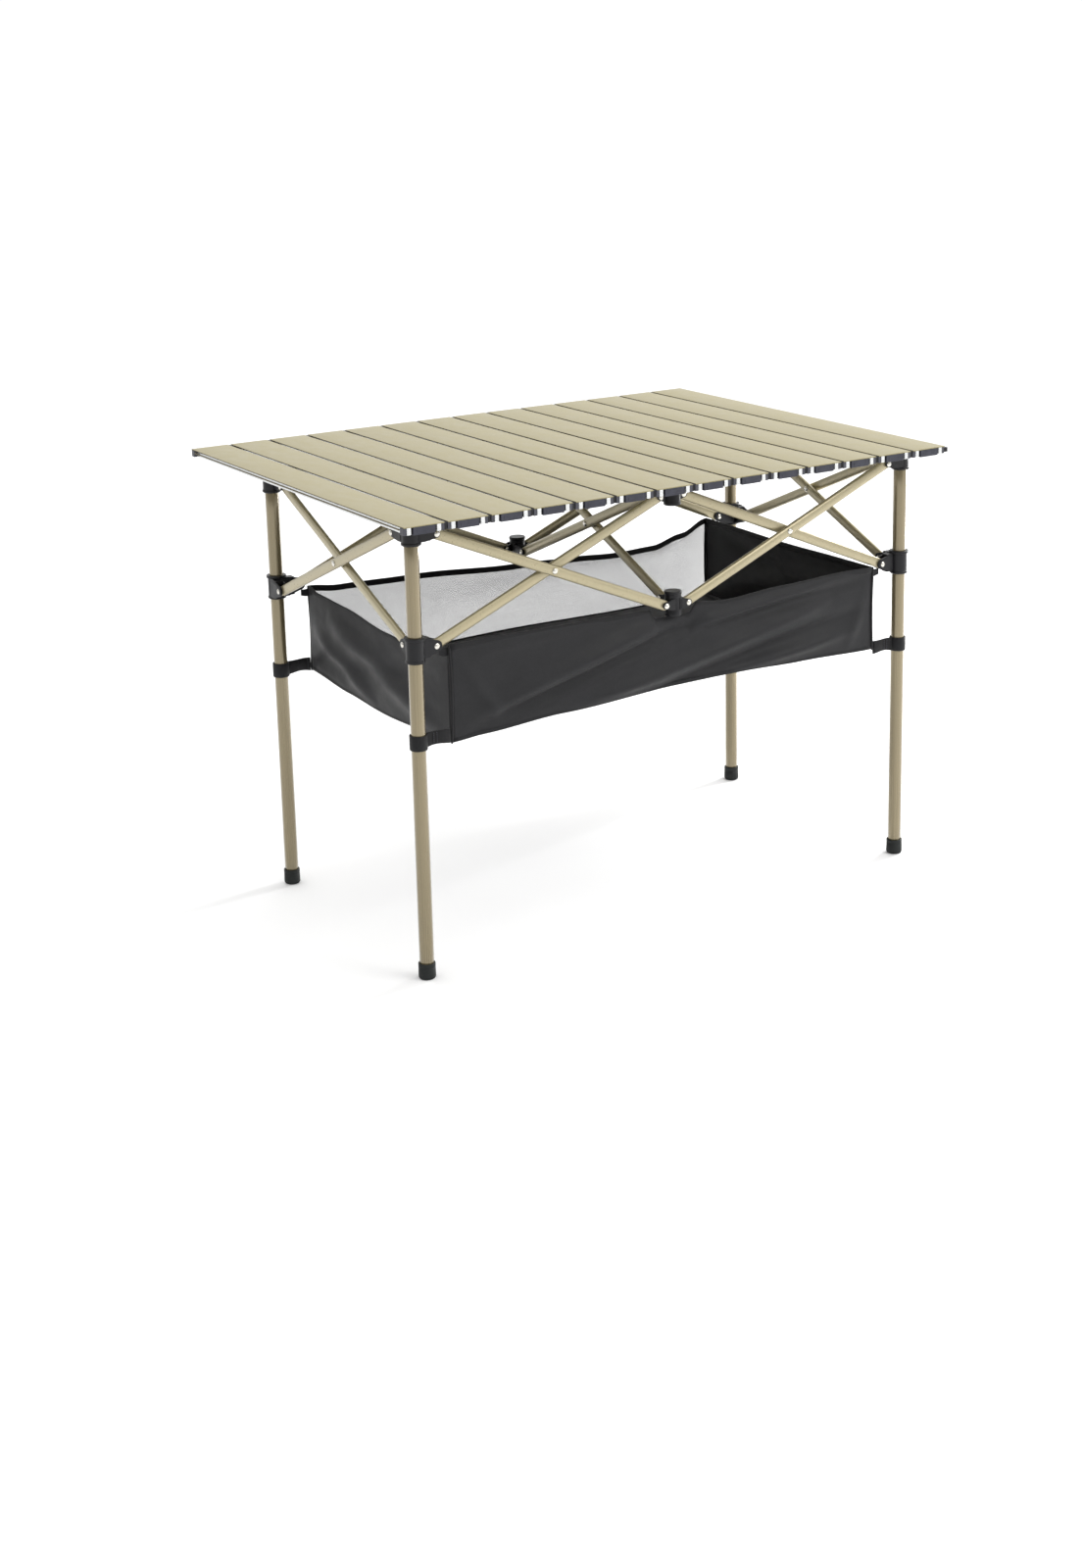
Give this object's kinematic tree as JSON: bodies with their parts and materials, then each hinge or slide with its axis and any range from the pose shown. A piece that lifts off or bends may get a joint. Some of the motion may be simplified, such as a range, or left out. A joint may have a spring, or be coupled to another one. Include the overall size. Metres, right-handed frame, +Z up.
{
  "type": "folding camp table",
  "caption": "Folding camp kitchen table with a roll-up slatted top, a scissor frame on round legs and a hanging cloth storage basket.",
  "frame": {"origin": "on the floor below the middle of the table top", "axes": "+Z up, +X along the table's length to the right, -Y to the front"},
  "size_m": [0.9466, 0.711, 0.688],
  "materials": {
    "leg": "satin champagne powder coat",
    "bar": "satin champagne powder coat",
    "slat": "fine satin champagne coat over aluminium",
    "bracket": "matte black moulded nylon",
    "foot": "matte black",
    "cloth": "black woven polyester",
    "net": "light grey net",
    "strap": "black woven polyester"
  },
  "bodies": {
    "hub_front_top": {"junction_front_top": "bracket"},
    "bar_front_left_b": {"bar_front_left_b": "bar"},
    "slider_front_left": {"slider_front_left": "bracket", "strap_front_left": "strap", "basket_left": "cloth"},
    "bar_front_left_a": {"bar_front_left_a": "bar"},
    "leg_front_left": {"leg_front_left": "leg", "foot_front_left": "foot", "top_bracket_front_left": "bracket"},
    "bar_front_right_b": {"bar_front_right_b": "bar"},
    "slider_front_right": {"slider_front_right": "bracket", "strap_front_right": "strap", "basket_right": "cloth"},
    "bar_front_right_a": {"bar_front_right_a": "bar"},
    "leg_front_right": {"leg_front_right": "leg", "foot_front_right": "foot", "top_bracket_front_right": "bracket"},
    "hub_front_bottom": {"junction_front_bottom": "bracket", "basket_front": "cloth"},
    "bar_centre_a": {"bar_centre_a": "bar"},
    "hub_back_bottom": {"junction_back_bottom": "bracket", "basket_back": "net"},
    "bar_centre_b": {"bar_centre_b": "bar"},
    "hub_back_top": {"junction_back_top": "bracket"},
    "bar_back_left_b": {"bar_back_left_b": "bar"},
    "slider_back_left": {"slider_back_left": "bracket", "strap_back_left": "strap"},
    "bar_back_left_a": {"bar_back_left_a": "bar"},
    "leg_back_left": {"leg_back_left": "leg", "foot_back_left": "foot", "top_bracket_back_left": "bracket"},
    "bar_back_right_b": {"bar_back_right_b": "bar"},
    "slider_back_right": {"slider_back_right": "bracket", "strap_back_right": "strap"},
    "bar_back_right_a": {"bar_back_right_a": "bar"},
    "leg_back_right": {"leg_back_right": "leg", "foot_back_right": "foot", "top_bracket_back_right": "bracket"},
    "bar_left_a": {"bar_left_a": "bar"},
    "bar_left_b": {"bar_left_b": "bar"},
    "bar_right_a": {"bar_right_a": "bar"},
    "bar_right_b": {"bar_right_b": "bar"},
    "basket_floor_front": {"basket_floor_front": "cloth"},
    "basket_floor_back": {"basket_floor_back": "cloth"},
    "slat_01": {"slat_01": "slat"},
    "slat_02": {"slat_02": "slat"},
    "slat_03": {"slat_03": "slat"},
    "slat_04": {"slat_04": "slat"},
    "slat_05": {"slat_05": "slat"},
    "slat_06": {"slat_06": "slat"},
    "slat_07": {"slat_07": "slat"},
    "slat_08": {"slat_08": "slat"},
    "slat_09": {"slat_09": "slat"},
    "slat_10": {"slat_10": "slat"},
    "slat_11": {"slat_11": "slat"},
    "slat_12": {"slat_12": "slat"},
    "slat_13": {"slat_13": "slat"},
    "slat_14": {"slat_14": "slat"}
  },
  "joints": [
    {"name": "frame_fold", "type": "hinge", "parent": "hub_front_top", "child": "bar_front_left_b", "pos_m": [-0.0015, -0.26665, 0.6545], "axis": [0, -1, 0], "range_deg": [0, 56.5], "deforming": ["basket_front", "basket_back", "basket_left", "basket_right", "basket_floor_front", "basket_floor_back"]},
    {"name": "slider_front_left", "type": "hinge", "parent": "bar_front_left_b", "child": "slider_front_left", "pos_m": [-0.384, -0.26665, 0.4915], "axis": [0, 1, 0], "range_deg": [0, 56.5]},
    {"name": "front_left_a_crossing", "type": "hinge", "parent": "bar_front_left_b", "child": "bar_front_left_a", "pos_m": [-0.19275, -0.27785, 0.573], "axis": [0, 1, 0], "range_deg": [0, 113]},
    {"name": "leg_front_left", "type": "hinge", "parent": "bar_front_left_a", "child": "leg_front_left", "pos_m": [-0.384, -0.27785, 0.6545], "axis": [0, -1, 0], "range_deg": [0, 56.5]},
    {"name": "front_right_b_pivot", "type": "hinge", "parent": "hub_front_top", "child": "bar_front_right_b", "pos_m": [0.0385, -0.26665, 0.6545], "axis": [0, 1, 0], "range_deg": [0, 56.5]},
    {"name": "slider_front_right", "type": "hinge", "parent": "bar_front_right_b", "child": "slider_front_right", "pos_m": [0.421, -0.26665, 0.4915], "axis": [0, -1, 0], "range_deg": [0, 56.5]},
    {"name": "front_right_a_crossing", "type": "hinge", "parent": "bar_front_right_b", "child": "bar_front_right_a", "pos_m": [0.22975, -0.27785, 0.573], "axis": [0, -1, 0], "range_deg": [0, 113]},
    {"name": "leg_front_right", "type": "hinge", "parent": "bar_front_right_a", "child": "leg_front_right", "pos_m": [0.421, -0.27785, 0.6545], "axis": [0, 1, 0], "range_deg": [0, 56.5]},
    {"name": "hub_front_bottom", "type": "hinge", "parent": "bar_front_left_a", "child": "hub_front_bottom", "pos_m": [-0.0015, -0.27785, 0.4915], "axis": [0, -1, 0], "range_deg": [0, 56.5]},
    {"name": "centre_a_pivot", "type": "hinge", "parent": "hub_front_top", "child": "bar_centre_a", "pos_m": [0.0129, -0.23825, 0.6545], "axis": [-1, 0, 0], "range_deg": [0, 56.5]},
    {"name": "hub_back_bottom", "type": "hinge", "parent": "bar_centre_a", "child": "hub_back_bottom", "pos_m": [0.0129, 0.14425, 0.4915], "axis": [1, 0, 0], "range_deg": [0, 56.5]},
    {"name": "centre_b_crossing", "type": "hinge", "parent": "bar_centre_a", "child": "bar_centre_b", "pos_m": [0.0241, -0.047, 0.573], "axis": [1, 0, 0], "range_deg": [0, 113]},
    {"name": "hub_back_top", "type": "hinge", "parent": "bar_centre_b", "child": "hub_back_top", "pos_m": [0.0241, 0.14425, 0.6545], "axis": [-1, 0, 0], "range_deg": [0, 56.5]},
    {"name": "back_left_b_pivot", "type": "hinge", "parent": "hub_back_top", "child": "bar_back_left_b", "pos_m": [-0.0015, 0.17265, 0.6545], "axis": [0, -1, 0], "range_deg": [0, 56.5]},
    {"name": "slider_back_left", "type": "hinge", "parent": "bar_back_left_b", "child": "slider_back_left", "pos_m": [-0.384, 0.17265, 0.4915], "axis": [0, 1, 0], "range_deg": [0, 56.5]},
    {"name": "back_left_a_crossing", "type": "hinge", "parent": "bar_back_left_b", "child": "bar_back_left_a", "pos_m": [-0.19275, 0.18385, 0.573], "axis": [0, 1, 0], "range_deg": [0, 113]},
    {"name": "leg_back_left", "type": "hinge", "parent": "bar_back_left_a", "child": "leg_back_left", "pos_m": [-0.384, 0.18385, 0.6545], "axis": [0, -1, 0], "range_deg": [0, 56.5]},
    {"name": "back_right_b_pivot", "type": "hinge", "parent": "hub_back_top", "child": "bar_back_right_b", "pos_m": [0.0385, 0.17265, 0.6545], "axis": [0, 1, 0], "range_deg": [0, 56.5]},
    {"name": "slider_back_right", "type": "hinge", "parent": "bar_back_right_b", "child": "slider_back_right", "pos_m": [0.421, 0.17265, 0.4915], "axis": [0, -1, 0], "range_deg": [0, 56.5]},
    {"name": "back_right_a_crossing", "type": "hinge", "parent": "bar_back_right_b", "child": "bar_back_right_a", "pos_m": [0.22975, 0.18385, 0.573], "axis": [0, -1, 0], "range_deg": [0, 113]},
    {"name": "leg_back_right", "type": "hinge", "parent": "bar_back_right_a", "child": "leg_back_right", "pos_m": [0.421, 0.18385, 0.6545], "axis": [0, 1, 0], "range_deg": [0, 56.5]},
    {"name": "left_a_pivot", "type": "hinge", "parent": "leg_front_left", "child": "bar_left_a", "pos_m": [-0.4236, -0.23825, 0.6545], "axis": [-1, 0, 0], "range_deg": [0, 56.5]},
    {"name": "left_b_crossing", "type": "hinge", "parent": "bar_left_a", "child": "bar_left_b", "pos_m": [-0.4124, -0.047, 0.573], "axis": [1, 0, 0], "range_deg": [0, 113]},
    {"name": "right_a_pivot", "type": "hinge", "parent": "leg_front_right", "child": "bar_right_a", "pos_m": [0.4606, -0.23825, 0.6545], "axis": [-1, 0, 0], "range_deg": [0, 56.5]},
    {"name": "right_b_crossing", "type": "hinge", "parent": "bar_right_a", "child": "bar_right_b", "pos_m": [0.4494, -0.047, 0.573], "axis": [1, 0, 0], "range_deg": [0, 113]},
    {"name": "basket_floor_front", "type": "hinge", "parent": "hub_front_bottom", "child": "basket_floor_front", "pos_m": [0.0185, -0.271, 0.3505], "axis": [1, 0, 0], "range_deg": [0, 71.47]},
    {"name": "basket_floor_back", "type": "hinge", "parent": "hub_back_bottom", "child": "basket_floor_back", "pos_m": [0.0185, 0.177, 0.3505], "axis": [-1, 0, 0], "range_deg": [0, 71.47]},
    {"name": "top_lift", "type": "slide", "parent": "hub_front_top", "child": "slat_01", "axis": [0, 0, 1], "range_m": [0, 0.25]},
    {"name": "top_roll_01", "type": "hinge", "parent": "slat_01", "child": "slat_02", "pos_m": [-0.40714, 0, 0.688], "axis": [0, -1, 0], "range_deg": [0, 45.54]},
    {"name": "top_roll_02", "type": "hinge", "parent": "slat_02", "child": "slat_03", "pos_m": [-0.33929, 0, 0.688], "axis": [0, -1, 0], "range_deg": [0, 46.99]},
    {"name": "top_roll_03", "type": "hinge", "parent": "slat_03", "child": "slat_04", "pos_m": [-0.27143, 0, 0.688], "axis": [0, -1, 0], "range_deg": [0, 48.58]},
    {"name": "top_roll_04", "type": "hinge", "parent": "slat_04", "child": "slat_05", "pos_m": [-0.20357, 0, 0.688], "axis": [0, -1, 0], "range_deg": [0, 50.36]},
    {"name": "top_roll_05", "type": "hinge", "parent": "slat_05", "child": "slat_06", "pos_m": [-0.13571, 0, 0.688], "axis": [0, -1, 0], "range_deg": [0, 52.35]},
    {"name": "top_roll_06", "type": "hinge", "parent": "slat_06", "child": "slat_07", "pos_m": [-0.06786, 0, 0.688], "axis": [0, -1, 0], "range_deg": [0, 54.62]},
    {"name": "top_roll_07", "type": "hinge", "parent": "slat_07", "child": "slat_08", "pos_m": [0, 0, 0.688], "axis": [0, -1, 0], "range_deg": [0, 57.22]},
    {"name": "top_roll_08", "type": "hinge", "parent": "slat_08", "child": "slat_09", "pos_m": [0.06786, 0, 0.688], "axis": [0, -1, 0], "range_deg": [0, 60.26]},
    {"name": "top_roll_09", "type": "hinge", "parent": "slat_09", "child": "slat_10", "pos_m": [0.13571, 0, 0.688], "axis": [0, -1, 0], "range_deg": [0, 63.89]},
    {"name": "top_roll_10", "type": "hinge", "parent": "slat_10", "child": "slat_11", "pos_m": [0.20357, 0, 0.688], "axis": [0, -1, 0], "range_deg": [0, 68.32]},
    {"name": "top_roll_11", "type": "hinge", "parent": "slat_11", "child": "slat_12", "pos_m": [0.27143, 0, 0.688], "axis": [0, -1, 0], "range_deg": [0, 73.94]},
    {"name": "top_roll_12", "type": "hinge", "parent": "slat_12", "child": "slat_13", "pos_m": [0.33929, 0, 0.688], "axis": [0, -1, 0], "range_deg": [0, 81.44]},
    {"name": "top_roll", "type": "hinge", "parent": "slat_13", "child": "slat_14", "pos_m": [0.40714, 0, 0.688], "axis": [0, -1, 0], "range_deg": [0, 92.4]}
  ],
  "couplings": [
    {"joint": "slider_front_left", "follows": "frame_fold", "ratio": 1},
    {"joint": "front_left_a_crossing", "follows": "frame_fold", "ratio": 2},
    {"joint": "leg_front_left", "follows": "frame_fold", "ratio": 1},
    {"joint": "front_right_b_pivot", "follows": "frame_fold", "ratio": 1},
    {"joint": "slider_front_right", "follows": "frame_fold", "ratio": 1},
    {"joint": "front_right_a_crossing", "follows": "frame_fold", "ratio": 2},
    {"joint": "leg_front_right", "follows": "frame_fold", "ratio": 1},
    {"joint": "hub_front_bottom", "follows": "frame_fold", "ratio": 1},
    {"joint": "centre_a_pivot", "follows": "frame_fold", "ratio": 1},
    {"joint": "hub_back_bottom", "follows": "frame_fold", "ratio": 1},
    {"joint": "centre_b_crossing", "follows": "frame_fold", "ratio": 2},
    {"joint": "hub_back_top", "follows": "frame_fold", "ratio": 1},
    {"joint": "back_left_b_pivot", "follows": "frame_fold", "ratio": 1},
    {"joint": "slider_back_left", "follows": "frame_fold", "ratio": 1},
    {"joint": "back_left_a_crossing", "follows": "frame_fold", "ratio": 2},
    {"joint": "leg_back_left", "follows": "frame_fold", "ratio": 1},
    {"joint": "back_right_b_pivot", "follows": "frame_fold", "ratio": 1},
    {"joint": "slider_back_right", "follows": "frame_fold", "ratio": 1},
    {"joint": "back_right_a_crossing", "follows": "frame_fold", "ratio": 2},
    {"joint": "leg_back_right", "follows": "frame_fold", "ratio": 1},
    {"joint": "left_a_pivot", "follows": "frame_fold", "ratio": 1},
    {"joint": "left_b_crossing", "follows": "frame_fold", "ratio": 2},
    {"joint": "right_a_pivot", "follows": "frame_fold", "ratio": 1},
    {"joint": "right_b_crossing", "follows": "frame_fold", "ratio": 2},
    {"joint": "basket_floor_front", "follows": "frame_fold", "ratio": 1.265},
    {"joint": "basket_floor_back", "follows": "frame_fold", "ratio": 1.265},
    {"joint": "top_roll_01", "follows": "top_roll", "ratio": 0.4929},
    {"joint": "top_roll_02", "follows": "top_roll", "ratio": 0.5086},
    {"joint": "top_roll_03", "follows": "top_roll", "ratio": 0.5258},
    {"joint": "top_roll_04", "follows": "top_roll", "ratio": 0.545},
    {"joint": "top_roll_05", "follows": "top_roll", "ratio": 0.5666},
    {"joint": "top_roll_06", "follows": "top_roll", "ratio": 0.5911},
    {"joint": "top_roll_07", "follows": "top_roll", "ratio": 0.6193},
    {"joint": "top_roll_08", "follows": "top_roll", "ratio": 0.6522},
    {"joint": "top_roll_09", "follows": "top_roll", "ratio": 0.6915},
    {"joint": "top_roll_10", "follows": "top_roll", "ratio": 0.7394},
    {"joint": "top_roll_11", "follows": "top_roll", "ratio": 0.8002},
    {"joint": "top_roll_12", "follows": "top_roll", "ratio": 0.8814}
  ]
}
